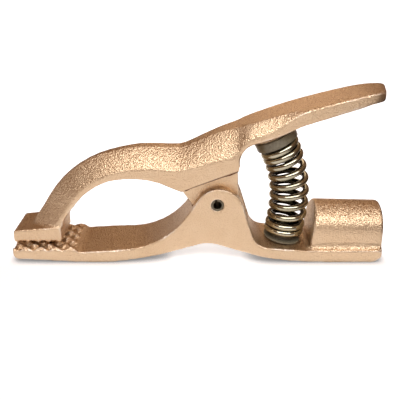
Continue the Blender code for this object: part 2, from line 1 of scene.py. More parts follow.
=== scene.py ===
# %% [markdown]
# # A cast welding earth clamp
# The clamp is two copper-alloy castings on a rolled pin. A bowed steel spring between the
# handles holds the toothed jaws shut, and a socket at the back takes the welding cable.
# The solids come from the frame, at their true size and place. This lesson gives each of
# them the surface that the foundry, the spring maker and the screw maker left on it.

# %% Load the frame
import json
import math

import bmesh
import bpy
import numpy as np
from mathutils import Matrix, Vector


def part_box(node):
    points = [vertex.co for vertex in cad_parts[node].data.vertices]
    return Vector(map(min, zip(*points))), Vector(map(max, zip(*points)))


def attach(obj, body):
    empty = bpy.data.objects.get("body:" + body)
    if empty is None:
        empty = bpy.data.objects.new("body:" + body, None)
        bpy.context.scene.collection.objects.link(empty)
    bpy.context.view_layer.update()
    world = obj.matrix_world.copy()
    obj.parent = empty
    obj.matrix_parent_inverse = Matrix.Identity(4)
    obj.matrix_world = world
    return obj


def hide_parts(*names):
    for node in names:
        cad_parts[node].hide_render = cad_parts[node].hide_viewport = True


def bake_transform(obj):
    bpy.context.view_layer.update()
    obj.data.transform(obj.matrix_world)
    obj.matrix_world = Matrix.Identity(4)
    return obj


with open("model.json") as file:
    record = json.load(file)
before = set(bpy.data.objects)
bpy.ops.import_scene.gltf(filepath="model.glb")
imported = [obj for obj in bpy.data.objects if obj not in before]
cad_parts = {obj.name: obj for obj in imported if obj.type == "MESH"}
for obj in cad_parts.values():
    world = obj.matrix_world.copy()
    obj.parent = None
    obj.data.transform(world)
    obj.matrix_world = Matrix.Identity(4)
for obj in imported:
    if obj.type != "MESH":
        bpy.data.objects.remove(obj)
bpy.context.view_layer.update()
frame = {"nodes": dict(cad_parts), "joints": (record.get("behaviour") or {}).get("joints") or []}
MM = 0.001
print("frame:", sorted(frame["nodes"]))

# %% [markdown]
# ## Camera
# The picture was taken from a little above the clamp's side, close enough for the far edges
# to look smaller. A camera can be placed by eye, or worked out from edges whose length is
# known. This one was worked out: it stands 0.29 m in front of the clamp's middle and looks
# down by 22.6 degrees.

# %% Camera at the photograph's place
PHOTO_PIXELS = 400
FOCAL_PIXELS = 600
LOOK_DOWN = math.radians(22.62)
CAMERA_PLACE = (0.00111, -0.29177, 0.15026)  # m
CLIP_START = 0.01  # m, nearer than any part of the clamp


def put(name, data):
    """A new object in the scene."""
    obj = bpy.data.objects.new(name, data)
    bpy.context.scene.collection.objects.link(obj)
    return obj


camera_data = bpy.data.cameras.new("photo_view")
camera_data.lens = camera_data.sensor_width * FOCAL_PIXELS / PHOTO_PIXELS
camera_data.clip_start = CLIP_START
camera = put("photo_view", camera_data)
camera.location = CAMERA_PLACE
camera.rotation_euler = (math.radians(90) - LOOK_DOWN, 0, 0)
bpy.context.scene.camera = camera
bpy.context.scene.view_settings.view_transform = "Standard"
print(f"camera: {camera_data.lens:.0f} mm lens on a {camera_data.sensor_width:.0f} mm sensor")

# %% [markdown]
# ## Helpers for nodes and colours
# Materials, the world and the geometry trees are all made of nodes. Each could be set up line by
# line. Here one function adds any node and fills its inputs, and short ones built on it cover
# what comes up most. Colours are picked in sRGB, as a screen shows them, while Blender reckons
# in linear light.

# %% Node and colour helpers
def linear(code):
    """An sRGB hex colour as linear red, green, blue and alpha."""
    parts = [int(code[i:i + 2], 16) / 255 for i in (1, 3, 5)]
    return [c / 12.92 if c <= 0.04045 else ((c + 0.055) / 1.055) ** 2.4 for c in parts] + [1.0]


def add_node(tree, kind, inputs=None, **settings):
    """A node with its settings, and its inputs by name or number, each a value or a socket."""
    made = tree.nodes.new(kind)
    for key, value in settings.items():
        setattr(made, key, value)
    for key, value in (inputs or {}).items():
        if isinstance(value, bpy.types.NodeSocket):
            tree.links.new(value, made.inputs[key])
        else:
            made.inputs[key].default_value = value
    return made


def reckoned(tree, operation, *terms):
    """What a Math node makes of its terms, each a number or a socket."""
    return add_node(tree, "ShaderNodeMath", dict(enumerate(terms)), operation=operation).outputs[0]


def ranged(tree, value, low, high, to_low=0.0, to_high=1.0):
    """A value that runs from low to high, made to run between two other ends and stop there."""
    ends = {"From Min": low, "From Max": high, "To Min": to_low, "To Max": to_high}
    return add_node(tree, "ShaderNodeMapRange", {"Value": value, **ends}).outputs[0]


def noise(tree, place, size, detail=2.0):
    """Noise from 0 to 1, in patches of about a size."""
    inputs = {"Vector": place, "Scale": 1 / size, "Detail": detail}
    return add_node(tree, "ShaderNodeTexNoise", inputs).outputs["Fac"]


def mixed(tree, first, second, share):
    """One colour turning into another by a share, each colour a hex code or a socket."""
    first, second = [linear(c) if isinstance(c, str) else c for c in (first, second)]
    # A Mix node takes its colours at inputs 6 and 7 and gives the mixed one at output 2
    return add_node(tree, "ShaderNodeMix", {0: share, 6: first, 7: second}, data_type="RGBA").outputs[2]


def start_material(name):
    """A new material, its tree, its shader and the Object coordinates that patterns read."""
    material = bpy.data.materials.new(name)
    material.use_nodes = True
    tree = material.node_tree
    place = add_node(tree, "ShaderNodeTexCoord").outputs["Object"]
    return material, tree, tree.nodes["Principled BSDF"], place


print("linear copper:", [round(c, 3) for c in linear("#e5c2a0")])

# %% [markdown]
# ## Floor
# The clamp lies on white paper. The paper could be lit until it burns out to white, but the metal
# would burn out with it. Rays that see the paper find it glowing instead, most of all behind the
# clamp, so that it is white under little light. Close under the clamp, where less light gets
# in, the paper darkens, so the clamp still rests on its shadow.

# %% Floor
FLOOR_HALF = 6.0  # m
CONTACT_REACH = 5 * MM
CONTACT_SAMPLES = 8
SHADED = 0.45  # how open the darkest paper is, and how bright
OPEN = 0.95  # how open the paper is that stays at full brightness
GLOW = 0.32  # for every ray that sees the paper
FRONT = -20 * MM
FRONT_GLOW = 0.15  # what the camera finds on top of that, in front of the clamp
BACK = 30 * MM
BACK_GLOW = 0.7  # and behind it
PAPER_GREY = 0.86


def mesh_from(bm, name):
    """A new mesh of what was built, which is then let go."""
    mesh = bpy.data.meshes.new(name)
    bm.to_mesh(mesh)
    bm.free()
    return mesh


bm = bmesh.new()
bmesh.ops.create_grid(bm, x_segments=1, y_segments=1, size=FLOOR_HALF)
floor = put("paper_floor", mesh_from(bm, "paper_floor"))

# White sweep paper: matt, with no grain to see at this distance
paper = bpy.data.materials.new("white sweep paper")
paper.use_nodes = True
tree = paper.node_tree
tree.nodes.clear()
path = add_node(tree, "ShaderNodeLightPath").outputs
mirror_rays = reckoned(tree, "MAXIMUM", path["Is Glossy Ray"], path["Is Transmission Ray"])
seen = reckoned(tree, "MAXIMUM", path["Is Camera Ray"], mirror_rays)
contact = add_node(
    tree, "ShaderNodeAmbientOcclusion", {"Distance": CONTACT_REACH}, samples=CONTACT_SAMPLES
)
shade = ranged(tree, contact.outputs["AO"], SHADED, OPEN, SHADED)
place = add_node(tree, "ShaderNodeTexCoord").outputs["Object"]
depth = add_node(tree, "ShaderNodeSeparateXYZ", {0: place}).outputs["Y"]
more = ranged(tree, depth, FRONT, BACK, FRONT_GLOW, BACK_GLOW)
glow = reckoned(tree, "MULTIPLY_ADD", more, path["Is Camera Ray"], GLOW)
strength = reckoned(tree, "MULTIPLY", glow, shade)
white = add_node(tree, "ShaderNodeEmission", {"Color": linear("#f6faff"), "Strength": strength})
grey = reckoned(tree, "MULTIPLY", shade, PAPER_GREY)
lit = add_node(tree, "ShaderNodeBsdfDiffuse", {"Color": grey})
glowing = add_node(tree, "ShaderNodeAddShader", {0: white.outputs[0], 1: lit.outputs[0]})
plain = add_node(tree, "ShaderNodeBsdfDiffuse", {"Color": linear("#e6e6e4")})
surface = add_node(tree, "ShaderNodeMixShader", {0: seen, 1: plain.outputs[0], 2: glowing.outputs[0]})
add_node(tree, "ShaderNodeOutputMaterial", {"Surface": surface.outputs[0]})
floor.data.materials.append(paper)
print("floor:", 2 * FLOOR_HALF, "m square")

# %% [markdown]
# ## Light
# One wide bank of light hangs high in front of the clamp. Faces that lean back a little mirror
# it and are brightest, upright faces mirror the paper, and flat tops mirror the dim room. More
# lamps would flatten the metal, so only a small reflector behind puts a glint on the handle,
# and a dark card past the right end gives the socket something to mirror besides white.

# %% Light
LIGHTS = {  # place, aim, width and height in m, power in W, colour
    "bank_of_light": ((0.1, -0.75, 0.95), (0.0, 0.0, 0.035), 1.5, 0.6, 11.5, "#ffffff"),
    "handle_reflector": ((0.03, 0.25, 0.215), (0.06, 0.0, 0.07), 0.16, 0.10, 0.11, "#ffe4c8"),
}
WALL_RISE = 0.35  # rays that rise less than this find the wall's light
WALL_LIGHT = 0.18
CEILING_RISE = 0.8  # and those that rise more than this the ceiling's
CEILING_LIGHT = 0.36
CARD_CORNERS = [(0.108, -0.12, MM), (0.158, 0.12, MM), (0.22, 0.12, 0.08), (0.22, -0.12, 0.08)]  # m

for name, (place, aim, width, height, power, colour) in LIGHTS.items():
    lamp = bpy.data.lights.new(name, "AREA")
    lamp.shape = "RECTANGLE"
    lamp.size = width
    lamp.size_y = height
    lamp.energy = power
    lamp.color = linear(colour)[:3]
    light = put(name, lamp)
    light.location = place
    light.rotation_euler = (Vector(aim) - Vector(place)).to_track_quat("-Z", "Y").to_euler()

# A dim warm room, lighter towards its ceiling
world = bpy.data.worlds.new("dim warm room")
bpy.context.scene.world = world
world.use_nodes = True
tree = world.node_tree
backdrop = tree.nodes["Background"]
backdrop.inputs["Color"].default_value = linear("#ffc9a0")
way = add_node(tree, "ShaderNodeTexCoord").outputs["Generated"]
rise = add_node(tree, "ShaderNodeSeparateXYZ", {0: way}).outputs["Z"]
room_light = ranged(tree, rise, WALL_RISE, CEILING_RISE, WALL_LIGHT, CEILING_LIGHT)
tree.links.new(room_light, backdrop.inputs["Strength"])

# A dark card past the right end, seen only as a reflection, mostly in the socket and handle's tip
card_mesh = bpy.data.meshes.new("dark_card")
card_mesh.from_pydata(CARD_CORNERS, [], [(0, 1, 2, 3)])
card_brown = bpy.data.materials.new("dark brown card")
card_brown.use_nodes = True
card_brown.node_tree.nodes["Principled BSDF"].inputs["Base Color"].default_value = linear("#3a2a1e")
card_mesh.materials.append(card_brown)
card = put("dark_card", card_mesh)
card.visible_camera = False
card.visible_diffuse = False
card.visible_shadow = False
print("lights:", list(LIGHTS))

# %% [markdown]
# ## Cast copper alloy
# Both levers are poured in sand and blasted clean. The sand leaves a fine, even grain that
# sparkles where it catches the lamp, and edges that handling has rubbed a little paler, painted
# paler still as a highlight. Shade is painted into the hollows and crevices. A picture of a
# casting could be wrapped on, but noise at the grain's own size works from every side. The
# grain is about 0.5 mm, drawn a little coarser so that a pixel can show it.

# %% Cast copper alloy
GRAIN = 0.65 * MM
GRAIN_HEIGHT = 0.6 * MM
PATCH = 9 * MM
CREVICE_REACH = 6 * MM
CREVICE_SAMPLES = 8
SIDES = (1.0, 0.6)  # how far a normal points sideways, on the flat sides and off them


# Blasted copper alloy: pale, warm and satin, with dark pits in the grain, and edges that are
# rubbed paler and painted nearly white as a highlight. Shade is painted brown into the hollows
# and crevices, and a painted shadow lies as a dark line under the arch's overhang
def cast_copper():
    material, tree, shader, place = start_material("sand-cast copper alloy, blasted")
    grain = noise(tree, place, GRAIN, 1.5)
    patches = noise(tree, place, PATCH, 3.0)
    standing = add_node(tree, "ShaderNodeAttribute", attribute_name="standing").outputs["Fac"]
    # Painted shadow: a dark line on the lug under the arch's overhang
    painted_step_shadow = add_node(tree, "ShaderNodeAttribute", attribute_name="painted_step_shadow").outputs["Fac"]
    normal = add_node(tree, "ShaderNodeNewGeometry").outputs["Normal"]
    side = reckoned(tree, "ABSOLUTE", add_node(tree, "ShaderNodeSeparateXYZ", {0: normal}).outputs["Y"])
    # Ambient occlusion, read below to paint shade into the crevices
    crevice_occlusion = add_node(
        tree, "ShaderNodeAmbientOcclusion", {"Distance": CREVICE_REACH},
        samples=CREVICE_SAMPLES, only_local=True,
    )

    # The flat sides are blasted smoother, so the other faces keep most of the grain and its pits
    pits = reckoned(tree, "MULTIPLY", ranged(tree, grain, 0.50, 0.25), ranged(tree, side, *SIDES, 0.15))
    grain_share = ranged(tree, side, *SIDES, 0.5)
    # Edges that stand out are painted nearly white: partly wear from handling, partly a painted highlight
    rubbed_and_highlit = reckoned(
        tree, "MULTIPLY", ranged(tree, standing, 0.4, 1.0), ranged(tree, patches, 0.44, 0.60)
    )
    # Painted shade: the hollows are painted brown, darker the deeper they lie in
    painted_hollow_shade = ranged(tree, standing, -0.5, -1.2)
    # Painted shade: crevices, where little light gets in, are painted dark brown
    painted_crevice_shade = ranged(tree, crevice_occlusion.outputs["AO"], 0.65, 0.2)
    colour = mixed(tree, "#e3c7a4", "#eed6b7", patches)
    # Tints in turn: grain pits, rubbed edges with a painted highlight, painted shade in the hollows, the
    # painted shadow under the arch's overhang, and painted shade in the crevices
    for tint, share in (
        ("#a9794f", pits), ("#fff3e4", rubbed_and_highlit), ("#8a5a3c", painted_hollow_shade), ("#5a3018", painted_step_shadow), ("#6e4126", painted_crevice_shade)
    ):
        colour = mixed(tree, colour, tint, share)
    tree.links.new(colour, shader.inputs["Base Color"])
    tree.links.new(ranged(tree, grain, 0.0, 1.0, 0.28, 0.40), shader.inputs["Roughness"])
    bump = add_node(
        tree, "ShaderNodeBump", {"Distance": GRAIN_HEIGHT, "Height": grain, "Strength": grain_share}
    )
    tree.links.new(bump.outputs[0], shader.inputs["Normal"])
    shader.inputs["Metallic"].default_value = 1.0
    return material


CAST_COPPER = cast_copper()
print("material:", CAST_COPPER.name)

# %% [markdown]
# ## Skin of a casting
# Sand leaves a skin that sinks a little here and there. It could be sculpted with a brush, but a
# geometry tree does it evenly and serves both castings. What the tree makes is baked into a
# plain mesh, which is what the export can keep.

# %% A cast skin as a geometry tree
RIPPLE = 2.6 * MM
RIPPLE_DEPTH = 0.16 * MM
RIPPLE_TOP = 0.8  # the noise seldom passes this, so the skin sinks and hardly ever rises


def new_tree(name, inputs):
    """A geometry tree with a Geometry output and named inputs, each (name, socket kind)."""
    tree = bpy.data.node_groups.new(name, "GeometryNodeTree")
    tree.interface.new_socket("Geometry", in_out="OUTPUT", socket_type="NodeSocketGeometry")
    for label, kind in inputs:
        tree.interface.new_socket(label, in_out="INPUT", socket_type="NodeSocket" + kind)
    return tree, tree.nodes.new("NodeGroupInput").outputs


def end_tree(tree, geometry, material):
    """Real geometry with its material, which is what a plain mesh can keep."""
    real = add_node(tree, "GeometryNodeRealizeInstances", {0: geometry}).outputs[0]
    dressed = add_node(tree, "GeometryNodeSetMaterial", {"Geometry": real, "Material": material})
    add_node(tree, "NodeGroupOutput", {0: dressed.outputs[0]})


def cast_skin():
    tree, given = new_tree("cast_skin", [
        ("Geometry", "Geometry"), ("Ripple", "Float"), ("Ripple Depth", "Float"), ("Material", "Material"),
    ])
    scale = reckoned(tree, "DIVIDE", 1.0, given["Ripple"])
    ripple = add_node(tree, "ShaderNodeTexNoise", {"Detail": 2.0, "Scale": scale}).outputs[0]
    sunk = reckoned(tree, "SUBTRACT", ripple, RIPPLE_TOP)
    depth = reckoned(tree, "MULTIPLY", sunk, given["Ripple Depth"])
    normal = add_node(tree, "GeometryNodeInputNormal").outputs[0]
    step = add_node(tree, "ShaderNodeVectorMath", {0: normal, "Scale": depth}, operation="SCALE")
    moved = add_node(
        tree, "GeometryNodeSetPosition", {"Geometry": given["Geometry"], "Offset": step.outputs[0]}
    )
    end_tree(tree, moved.outputs[0], given["Material"])
    return tree


def set_inputs(modifier, values):
    """Sets a tree's inputs by name, through the identifier that each socket has."""
    for item in modifier.node_group.interface.items_tree:
        if item.in_out == "INPUT" and item.name in values:
            modifier[item.identifier] = values[item.name]


def bake(obj):
    """Turns what the modifiers make into the object's own plain mesh."""
    bpy.context.view_layer.update()
    graph = bpy.context.evaluated_depsgraph_get()
    mesh = bpy.data.meshes.new_from_object(obj.evaluated_get(graph))
    obj.modifiers.clear()
    obj.data = mesh
    mesh.shade_smooth()
    mesh.calc_loop_triangles()
    print(f"{obj.name}: {len(mesh.loop_triangles)} triangles")


SKIN = cast_skin()
print("tree:", SKIN.name, "with", len(SKIN.nodes), "nodes")

# %% [markdown]
# ## Rounds of a casting
# Sand can't hold a crisp inside corner, so a casting has a fillet in each of them, while its
# outside edges are only a little round. Each edge could be bevelled by hand. Here points are
# moved towards their neighbours instead, most of all in the hollows. Each point also learns two
# things that the colours need: how far it stands out, and how near it is to the line under the
# arch's overhang, where a shadow is painted on the lug.

# %% How the sand rounds a casting
ROUND_PASSES = 2  # over everything, for the outside edges
FILLET_PASSES = 60  # over the inside corners
FILLET_REACH = 7  # cells from the corner
FILLET_GAIN = 3  # how fast a hollow grows into a full fillet
FILLET_START = 0.3  # taken off, so that shallow hollows get none
EVEN_PASSES = 4  # over how far points stand out, to lose the cells' own steps
INSIDE_LIMITS = 0.99  # share of the points that stand out or lie in by less than 1
HINGE = next(joint for joint in frame["joints"] if joint["name"] == "jaw_hinge")
PIVOT = Vector(HINGE["pos_m"])
LUG_REACH = 27 * MM  # the lug's step stays crisp
TEETH_RIGHT = -64 * MM  # left of this and below the next, the tooth grooves stay open
TEETH_TOP = 11 * MM
HANDLE_ROOT = Vector((21, -8, 62)) * MM  # where the handle's side leaves the arch
ROOT_REACH = 11 * MM
HANDLE_START = 50 * MM  # past the spring seat, where the handle begins to be deeper
HANDLE_FULL = 62 * MM
HANDLE_OVER = 55 * MM  # above this and past the start, everything is handle
HANDLE_DEEPER = 0.7 * MM
# A shadow is painted as a dark line on the lug under the arch's overhang
STEP_SHADOW_LINE = ((-6.0, 38.7), (12.5, 46.2), (20.2, 49.2))  # x and z in mm, where the arch overhangs the lug
STEP_SHADOW_OUT = 8.5 * MM  # from the middle, along the pin
STEP_SHADOW_CORE = 0.3 * MM  # this near the line the painted shadow is darkest
STEP_SHADOW_EDGE = 0.8 * MM  # and here it has faded


def array_of(items, key, width, kind=float):
    """A value of every item, as rows of a width."""
    values = np.empty(len(items) * width, kind)
    items.foreach_get(key, values)
    return values.reshape(-1, width)


def meeting(mesh):
    """A function that gives, for values at a mesh's points, their mean over each point's neighbours."""
    a, b = array_of(mesh.edges, "vertices", 2, int).T
    total = len(mesh.vertices)
    count = np.bincount(a, minlength=total) + np.bincount(b, minlength=total)

    def around(values):
        columns = values.reshape(total, -1).T
        sums = [np.bincount(a, c[b], total) + np.bincount(b, c[a], total) for c in columns]
        return (np.stack(sums, axis=1) / count[:, None]).reshape(values.shape)

    return around


def standing_out(mesh, around):
    """How far each point stands out from its neighbours, -1 in hollows to 1 on edges."""
    points = array_of(mesh.vertices, "co", 3)
    height = ((points - around(points)) * array_of(mesh.vertices, "normal", 3)).sum(axis=1)
    for _ in range(EVEN_PASSES):
        height = (height + around(height)) / 2
    return np.clip(height / np.quantile(np.abs(height), INSIDE_LIMITS), -1, 1)


def fillet_share(points, standing, around):
    """How much of a fillet each point takes, 0 on plain faces to 1 in the inside corners."""
    corner = np.clip(-standing, 0, 1)
    corner[(points[:, 0] < TEETH_RIGHT) & (points[:, 2] < TEETH_TOP)] = 0
    corner[np.hypot(points[:, 0] - PIVOT.x, points[:, 2] - PIVOT.z) < LUG_REACH] = 0
    for _ in range(FILLET_REACH):
        corner = np.maximum(corner, around(corner))
    # The handle's root is rounded too, fully within half of its reach
    off_root = np.linalg.norm(points - np.array(HANDLE_ROOT), axis=1) / ROOT_REACH
    return np.clip(np.maximum(FILLET_GAIN * corner - FILLET_START, 2 - 2 * off_root), 0, 1)


def handle_drop(points, normals):
    """How far each point of the handle's underside lies below its solid."""
    under = np.clip(-2 * normals[:, 2], 0, 1)  # full where a face looks down by 30 degrees or more
    along = np.clip((points[:, 0] - HANDLE_START) / (HANDLE_FULL - HANDLE_START), 0, 1)
    return HANDLE_DEEPER * under * along * (points[:, 2] > HANDLE_OVER)


def step_shadow_share(points):
    """How dark the painted shadow under the arch's overhang is at each point, by its distance from its line,
    seen from the side.
    """
    nearest = np.full(len(points), np.inf)
    for start, end in zip(STEP_SHADOW_LINE, STEP_SHADOW_LINE[1:]):
        line = (np.array(end) - start) * MM
        off = points[:, [0, 2]] - np.array(start) * MM
        share = np.clip(off @ line / (line @ line), 0, 1)
        nearest = np.minimum(nearest, np.linalg.norm(off - share[:, None] * line, axis=1))
    dark = np.clip((STEP_SHADOW_EDGE - nearest) / (STEP_SHADOW_EDGE - STEP_SHADOW_CORE), 0, 1)
    return dark * (np.abs(points[:, 1]) > STEP_SHADOW_OUT)


def soften(mesh):
    """Rounds the edges a little, fills the inside corners and keeps what the colours need."""
    around = meeting(mesh)
    normals = array_of(mesh.vertices, "normal", 3)
    points = array_of(mesh.vertices, "co", 3)
    for _ in range(ROUND_PASSES):
        points = (points + around(points)) / 2
    fillet = fillet_share(points, standing_out(mesh, around), around)[:, None]
    for _ in range(FILLET_PASSES):
        points = points + (around(points) - points) * fillet / 2
    points[:, 2] -= handle_drop(points, normals)
    mesh.vertices.foreach_set("co", points.ravel())
    mesh.update()
    # Kept for the colours: how far each point stands out, and the painted shadow line under the overhang
    for name, values in (("standing", standing_out(mesh, around)), ("painted_step_shadow", step_shadow_share(points))):
        layer = mesh.attributes.new(name, "FLOAT", "POINT")
        layer.data.foreach_set("value", values.astype(np.float32))


print("pivot:", [round(v / MM, 2) for v in PIVOT], "mm")

# %% [markdown]
# ## The two castings
# Each solid is cut into small even cells, which gives the rounding enough points to move, and
# then gets its skin. Finer cells would keep crisper teeth but make the meshes too heavy. The
# lower lever's ears are first closed on the pin, which is pressed into them.

# %% Recast the levers
LEVERS = {  # name, body and cell size, which is as fine as 200,000 triangles allow
    "upper_lever": ("upper_casting", "upper", 0.47 * MM),
    "lower_lever": ("lower_casting", "lower", 0.51 * MM),
}
WELD = 0.001 * MM  # points that are nearer than this are one point
PIN_RADIUS = 3.175 * MM
EAR_INSIDE = 8.8 * MM  # from the middle, along the pin
EAR_OUTSIDE = 12.4 * MM
RING_INTO_PIN = 0.1 * MM
RING_INTO_EAR = 1.0 * MM
RING_STEPS = 48


def close_ears(bm):
    """Rings that close the ears' holes on the pin, which is pressed into them."""
    inner = PIN_RADIUS - RING_INTO_PIN
    outer = PIN_RADIUS + RING_INTO_EAR
    section = [(inner, EAR_INSIDE), (outer, EAR_INSIDE), (outer, EAR_OUTSIDE), (inner, EAR_OUTSIDE)]
    for side in (-1, 1):
        known = set(bm.faces)
        points = [bm.verts.new(PIVOT + Vector((radius, side * along, 0.0))) for radius, along in section]
        edges = [bm.edges.new((points[k - 1], points[k])) for k in range(len(points))]
        bmesh.ops.spin(
            bm, geom=points + edges, cent=PIVOT, axis=(0, 1, 0), angle=math.tau, steps=RING_STEPS,
            use_merge=True,
        )
        bmesh.ops.recalc_face_normals(bm, faces=[face for face in bm.faces if face not in known])


def recast(node, name, body, cell):
    mesh = frame["nodes"][node].data.copy()
    bm = bmesh.new()
    bm.from_mesh(mesh)
    bmesh.ops.remove_doubles(bm, verts=bm.verts, dist=WELD)
    if body == "lower":
        close_ears(bm)
    bm.to_mesh(mesh)
    bm.free()
    casting = put(name, mesh)
    cells = casting.modifiers.new("cells", "REMESH")
    cells.mode = "VOXEL"
    cells.voxel_size = cell
    bake(casting)
    soften(casting.data)
    skin = casting.modifiers.new("cast skin", "NODES")
    skin.node_group = SKIN
    set_inputs(skin, {"Ripple": RIPPLE, "Ripple Depth": RIPPLE_DEPTH, "Material": CAST_COPPER})
    bake(casting)
    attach(casting, body)
    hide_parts(node)


for node, (name, body, cell) in LEVERS.items():
    recast(node, name, body, cell)

# %% [markdown]
# ## Wire of the spring
# The spring is steel wire with a thin plating. The outside of the coil stays bright, and the
# sides that look in and down are painted nearly black, as painted shade. One plain metal would
# look the same all round, so the colour follows a value that the coil's tree leaves on each
# face: how far it looks out and up.

# %% Plated wire
STAIN = 6 * MM
WEAR = 0.8 * MM


# Zinc plating with a yellow passivate: bright, with a faint straw tint in stained patches, and
# painted nearly black as painted shade on the sides that look in and down
def plated_wire():
    material, tree, shader, place = start_material("spring steel, zinc plated and passivated")
    stain = noise(tree, place, STAIN, 3.0)
    wear = noise(tree, place, WEAR)
    outside = add_node(tree, "ShaderNodeAttribute", attribute_name="outside").outputs["Fac"]
    plating = mixed(tree, "#cdcab6", "#a09b84", stain)
    # Painted shade: the sides that look in and down are painted nearly black
    colour = mixed(tree, "#3a3528", plating, ranged(tree, outside, 0.1, 0.75))
    tree.links.new(colour, shader.inputs["Base Color"])
    tree.links.new(ranged(tree, wear, 0.0, 1.0, 0.10, 0.22), shader.inputs["Roughness"])
    shader.inputs["Metallic"].default_value = 1.0
    return material


PLATED_WIRE = plated_wire()
print("material:", PLATED_WIRE.name)

# %% [markdown]
# ## Bowed coil
# The spring is round wire, coiled and bowed by the handles' tilt. It could be drawn point by
# point. A rule is shorter and stays true: the wire turns about a bowed line, with two closed
# turns at each end and even turns between. A geometry tree follows that rule.

# %% Bowed coil as a geometry tree
def lean(degrees):
    """Unit direction leaning from upright towards the socket."""
    angle = math.radians(degrees)
    return Vector((math.sin(angle), 0.0, math.cos(angle)))


WIRE_RADIUS = 1.7 * MM
COIL_RADIUS = 8.7 * MM
COILS = 10
CLOSED_TURNS = 2
CLOSED_RISE = 3.4 * MM
BOW = 21.0 * MM
SEAT_GAP = 0.35 * MM
LOWER_SEAT = {"place": Vector((44.8, 0.0, 6.9)) * MM, "axis": lean(10), "radius": 9.8, "height": 1.3}
UPPER_SEAT = {"place": Vector((38.0, 0.0, 65.2)) * MM, "axis": -lean(-26), "radius": 11.0, "height": 5.0}
LINE_POINTS = 200
STEPS_PER_TURN = 56
WIRE_SIDES = 18
BRIGHT_SIDE_LEAN = 0.5  # how far the side that stays bright leans up from straight out


def bowed_coil():
    tree, given = new_tree("bowed_coil", [
        ("Foot", "Vector"), ("Foot Handle", "Vector"), ("Head Handle", "Vector"), ("Head", "Vector"),
        ("Coils", "Int"), ("Coil Radius", "Float"), ("Wire Radius", "Float"),
        ("Closed Turns", "Int"), ("Closed Rise", "Float"), ("Material", "Material"),
    ])

    def reckon(operation, *terms):
        return reckoned(tree, operation, *terms)

    def arrow(operation, inputs, output="Vector"):
        """What a Vector Math node makes of its inputs."""
        return add_node(tree, "ShaderNodeVectorMath", inputs, operation=operation).outputs[output]

    line = add_node(tree, "GeometryNodeCurvePrimitiveBezierSegment", {
        "Resolution": LINE_POINTS, "Start": given["Foot"], "Start Handle": given["Foot Handle"],
        "End Handle": given["Head Handle"], "End": given["Head"],
    }).outputs[0]
    whole = add_node(tree, "GeometryNodeCurveLength", {0: line}).outputs[0]
    stop = reckon("SUBTRACT", whole, given["Wire Radius"])
    # A Trim Curve node takes its lengths at inputs 4 and 5
    middle = add_node(
        tree, "GeometryNodeTrimCurve", {0: line, 4: given["Wire Radius"], 5: stop}, mode="LENGTH"
    )
    climb = reckon("SUBTRACT", stop, given["Wire Radius"])
    count = reckon("MULTIPLY", given["Coils"], STEPS_PER_TURN)
    points = add_node(tree, "GeometryNodeResampleCurve", {"Curve": middle.outputs[0], "Count": count})

    # Turns made by each height: the closed turns of the foot, the even turns, those of the head
    height = add_node(tree, "GeometryNodeSplineParameter").outputs["Length"]
    end_climb = reckon("MULTIPLY", given["Closed Rise"], given["Closed Turns"])
    even_turns = reckon("SUBTRACT", given["Coils"], reckon("MULTIPLY", given["Closed Turns"], 2))
    even_climb = reckon("SUBTRACT", climb, reckon("MULTIPLY", end_climb, 2))
    foot_turns = reckon("DIVIDE", reckon("MINIMUM", height, end_climb), given["Closed Rise"])
    above_foot = reckon("MAXIMUM", reckon("SUBTRACT", height, end_climb), 0.0)
    even_part = reckon("MINIMUM", reckon("DIVIDE", above_foot, even_climb), 1.0)
    to_head = reckon("SUBTRACT", climb, end_climb)
    above_even = reckon("MAXIMUM", reckon("SUBTRACT", height, to_head), 0.0)
    head_turns = reckon("DIVIDE", above_even, given["Closed Rise"])
    end_turns = reckon("ADD", foot_turns, head_turns)
    turns = reckon("ADD", end_turns, reckon("MULTIPLY", even_part, even_turns))
    angle = reckon("MULTIPLY", turns, math.tau)

    tangent = add_node(tree, "GeometryNodeInputTangent").outputs[0]
    outward = arrow("CROSS_PRODUCT", {0: (0.0, 1.0, 0.0), 1: tangent})
    reach = reckon("MULTIPLY", reckon("COSINE", angle), given["Coil Radius"])
    sideways = reckon("MULTIPLY", reckon("SINE", angle), given["Coil Radius"])
    out_step = arrow("SCALE", {0: outward, "Scale": reach})
    side_step = add_node(tree, "ShaderNodeCombineXYZ", {"Y": sideways}).outputs[0]
    step = arrow("ADD", {0: out_step, 1: side_step})

    # Out from the coil and a little up, the way that the bright side faces; the other side is painted in
    # shade
    away = arrow("NORMALIZE", {0: step})
    raised = arrow("MULTIPLY_ADD", {0: tangent, 1: (BRIGHT_SIDE_LEAN,) * 3, 2: away})
    bright_side_way = arrow("NORMALIZE", {0: raised})
    marked = add_node(
        tree, "GeometryNodeStoreNamedAttribute",
        {"Geometry": points.outputs[0], "Name": "bright_side_way", "Value": bright_side_way}, data_type="FLOAT_VECTOR",
    )
    wound = add_node(tree, "GeometryNodeSetPosition", {"Geometry": marked.outputs[0], "Offset": step})
    section = add_node(
        tree, "GeometryNodeCurvePrimitiveCircle", {"Resolution": WIRE_SIDES, "Radius": given["Wire Radius"]}
    )
    wire = add_node(
        tree, "GeometryNodeCurveToMesh",
        {"Curve": wound.outputs[0], "Profile Curve": section.outputs[0], "Fill Caps": True},
    )
    way = add_node(
        tree, "GeometryNodeInputNamedAttribute", {"Name": "bright_side_way"}, data_type="FLOAT_VECTOR"
    )
    normal = add_node(tree, "GeometryNodeInputNormal").outputs[0]
    outside = arrow("DOT_PRODUCT", {0: normal, 1: way.outputs[0]}, "Value")
    shown = add_node(
        tree, "GeometryNodeStoreNamedAttribute",
        {"Geometry": wire.outputs[0], "Name": "outside", "Value": outside}, data_type="FLOAT",
    )
    end_tree(tree, shown.outputs[0], given["Material"])
    return tree


